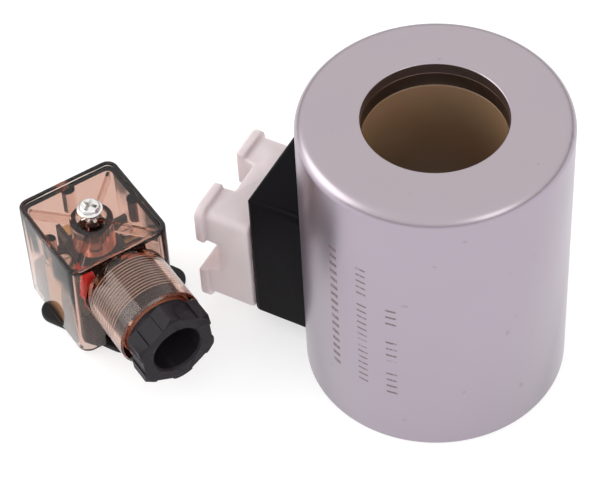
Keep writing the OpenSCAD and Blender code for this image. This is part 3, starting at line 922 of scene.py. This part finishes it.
def buildFixingScrew():
    s = screwShape
    low, high = extent("fixing_screw", plugFrame)
    top = high.z
    under = top - s["headHeight"]
    rim = under + s["rimHeight"]
    dome = [(0, under), (s["head"] - 0.12, under), (s["head"], under + 0.12), (s["head"], rim - 0.12),
            (s["head"] - 0.12, rim), (s["head"] - 0.45, rim + 0.05)]
    dome += softCorners([(s["head"] - 0.5, rim + 0.1), (s["head"] - 0.9, top - 0.15), (0, top)], [0, 1.2, 0], 6)
    screw = lathe("fixingScrew", dome, 72)
    rod = lathe("rod", [(0, low.z + s["threadLength"] - 0.5), (s["core"], low.z + s["threadLength"] - 0.5),
                        (s["rod"] - 0.1, low.z + s["threadLength"] + 0.2), (s["rod"] - 0.1, under + 0.3),
                        (0, under + 0.3)], 48)
    thread = threadedRod("thread", s["core"], s["rod"], low.z, low.z + s["threadLength"], s["pitch"], 40, 6)
    combine(screw, [rod, thread], "UNION")
    for k in range(4):
        # a wing of the cross, deep in the middle and running out at the rim
        turn = Matrix.Rotation(math.radians(90 * k + s["crossTurn"]), 4, "Z")
        w = s["crossWidth"] / 2
        deep = top - s["crossDepth"]
        wing = meshObject("wing", [
            (-0.2, -w * 0.6, deep), (0.7, -w * 0.5, deep), (0.7, w * 0.5, deep), (-0.2, w * 0.6, deep),
            (-0.2, -w, top + 0.5), (s["crossReach"] + 0.4, -w * 1.1, top + 0.5),
            (s["crossReach"] + 0.4, w * 1.1, top + 0.5), (-0.2, w, top + 0.5),
        ], [(3, 2, 1, 0), (4, 5, 6, 7), (0, 1, 5, 4), (1, 2, 6, 5), (2, 3, 7, 6), (3, 0, 4, 7)], turn)
        combine(screw, [wing], "DIFFERENCE")
    settle(screw, plugFrame, "fixing_screw", "fixing_screw", zinc, 38)


washerShape = {"bore": 1.62, "ring": 2.0, "tooth": 2.8, "teeth": 8, "twist": 0.6}


def buildLockWasher():
    s = washerShape
    low, high = extent("lock_washer", plugFrame)
    mid = (low.z + high.z) / 2
    ring = lathe("lockWasher", [(s["bore"], mid - 0.2), (s["ring"], mid - 0.2), (s["ring"], mid + 0.2),
                                (s["bore"], mid + 0.2)], 60)
    for k in range(s["teeth"]):
        turn = Matrix.Rotation(2 * math.pi * k / s["teeth"], 4, "Z")
        tilt = Matrix.Translation((0, 0, mid)) @ Matrix.Rotation(s["twist"], 4, "X")
        tooth = prism("tooth", [(s["ring"] - 0.3, -0.5), (s["tooth"], -0.42), (s["tooth"], 0.42),
                                (s["ring"] - 0.3, 0.5)], -0.12, 0.12, turn @ tilt)
        combine(ring, [tooth], "UNION")
    settle(ring, plugFrame, "lock_washer", "lock_washer", zinc)


buildFixingScrew()
buildLockWasher()
print("screw built")


# Gasket

gasketShape = {"length": 28.0, "width": 30.0, "corner": 4.0, "hole": 9.0, "offset": (2.4, 1.4), "edge": 0.35}


def buildGasket():
    s = gasketShape
    low, high = extent("gasket", plugFrame)
    turn = math.radians(jointCalled("gasket_align")["range_deg"][0])
    cx, cy = s["offset"]
    sheet = prism("flatGasket", roundRect(cx - s["length"] / 2, cy - s["width"] / 2, cx + s["length"] / 2,
                                          cy + s["width"] / 2, s["corner"], 8), low.z, high.z)
    hole = lathe("hole", [(0, -1), (s["hole"], -1), (s["hole"], 3), (0, 3)], 72)
    combine(sheet, [hole], "DIFFERENCE")
    softenEdges(sheet, s["edge"], 3)
    settle(sheet, plugFrame @ Matrix.Rotation(-turn, 4, "Z"), "gasket", "gasket", gasketRubber)


buildGasket()

# CAD solids whose shape is right keep it and get their finish
keptFinishes = {
    "winding": copper, "insulation_tape": tapeFilm, "potting": pottingResin, "thread_insert": brass,
    "blade_1": tin, "blade_2": tin, "earth_blade": tin, "winding_leads": copper, "earth_strap": brass,
}
for node, finish in keptFinishes.items():
    cad = frame["nodes"][node]
    cad.data.materials.clear()
    cad.data.materials.append(finish.material)
print("gasket and kept parts done")


# Stage, light and camera

stageShape = {
    "size": 6.0,
    "shade": (0.46, 0.46, 0.46),
    "glow": 0.60,
    "world": 1.2,
    "horizon": 0.18,       # how dim the studio is at eye height, against overhead
}


def buildStage():
    half = stageShape["size"] / 2
    floor = meshObject("floor", [(-half, -half, 0), (half, -half, 0), (half, half, 0), (-half, half, 0)],
                       [(0, 1, 2, 3)], Matrix.Translation((0, 0, -0.0002)))
    paper = Finish("palePaper", stageShape["shade"], roughness=0.9, glow=stageShape["glow"], specular=0.1)
    paper.shader.inputs["Emission Color"].default_value = (1, 1, 1, 1)
    paper.feed("Roughness", 0.86 + 0.08 * paper.noise(30.0, 2.0))
    floor.data.materials.append(paper.material)
    world = bpy.data.worlds.new("studio")
    world.use_nodes = True
    nodes = world.node_tree.nodes
    links = world.node_tree.links
    sky = nodes["Background"]
    sky.inputs["Strength"].default_value = stageShape["world"]
    place = nodes.new("ShaderNodeTexCoord")
    parts = nodes.new("ShaderNodeSeparateXYZ")
    ramp = nodes.new("ShaderNodeValToRGB")
    ramp.color_ramp.interpolation = "EASE"
    ramp.color_ramp.elements[0].position = 0.04
    ramp.color_ramp.elements[0].color = (*[stageShape["horizon"]] * 3, 1)
    ramp.color_ramp.elements[1].position = 0.30
    ramp.color_ramp.elements[1].color = (1, 1, 1, 1)
    links.new(place.outputs["Generated"], parts.inputs[0])
    links.new(parts.outputs["Z"], ramp.inputs["Fac"])
    links.new(ramp.outputs["Color"], sky.inputs["Color"])
    bpy.context.scene.world = world
    bpy.context.scene.view_settings.view_transform = "Standard"


lamps = {
    # name: (azimuth, elevation, distance, size, power)
    "keyBox": (206, 24, 1.2, 1.2, 7.5),
    "fillBox": (340, 30, 1.4, 0.7, 2.0),
}
cameraShape = {
    "aim": (-0.0278, -0.0160, 0.0404),
    "distance": 0.6025,
    "azimuth": 30.74,       # turn of the view about the vertical, in degrees
    "elevation": 48.79,
    "roll": 3.51,
    "lens": 152.4,
}


def toward(azimuth, elevation):
    a = math.radians(azimuth)
    e = math.radians(elevation)
    return Vector((math.cos(a) * math.cos(e), math.sin(a) * math.cos(e), math.sin(e)))


def buildLamps():
    aim = Vector(cameraShape["aim"])
    for name, (azimuth, elevation, distance, size, power) in lamps.items():
        light = bpy.data.lights.new(name, "AREA")
        light.shape = "DISK"
        light.size = size
        light.energy = power
        lamp = bpy.data.objects.new(name, light)
        bpy.context.scene.collection.objects.link(lamp)
        lamp.location = aim + toward(azimuth, elevation) * distance
        lamp.rotation_euler = (aim - lamp.location).to_track_quat("-Z", "Y").to_euler()


def buildCamera():
    s = cameraShape
    eye = bpy.data.cameras.new("camera")
    eye.lens = s["lens"]
    eye.sensor_width = 36.0
    eye.clip_start = 0.01
    camera = bpy.data.objects.new("camera", eye)
    bpy.context.scene.collection.objects.link(camera)
    turn = (Matrix.Rotation(math.radians(s["azimuth"]), 4, "Z")
            @ Matrix.Rotation(math.radians(90 - s["elevation"]), 4, "X")
            @ Matrix.Rotation(-math.radians(s["roll"]), 4, "Z"))
    back = Matrix.Translation((0, 0, s["distance"]))
    camera.matrix_world = Matrix.Translation(Vector(s["aim"])) @ turn @ back
    bpy.context.scene.camera = camera


buildStage()
buildLamps()
buildCamera()
print("stage ready")
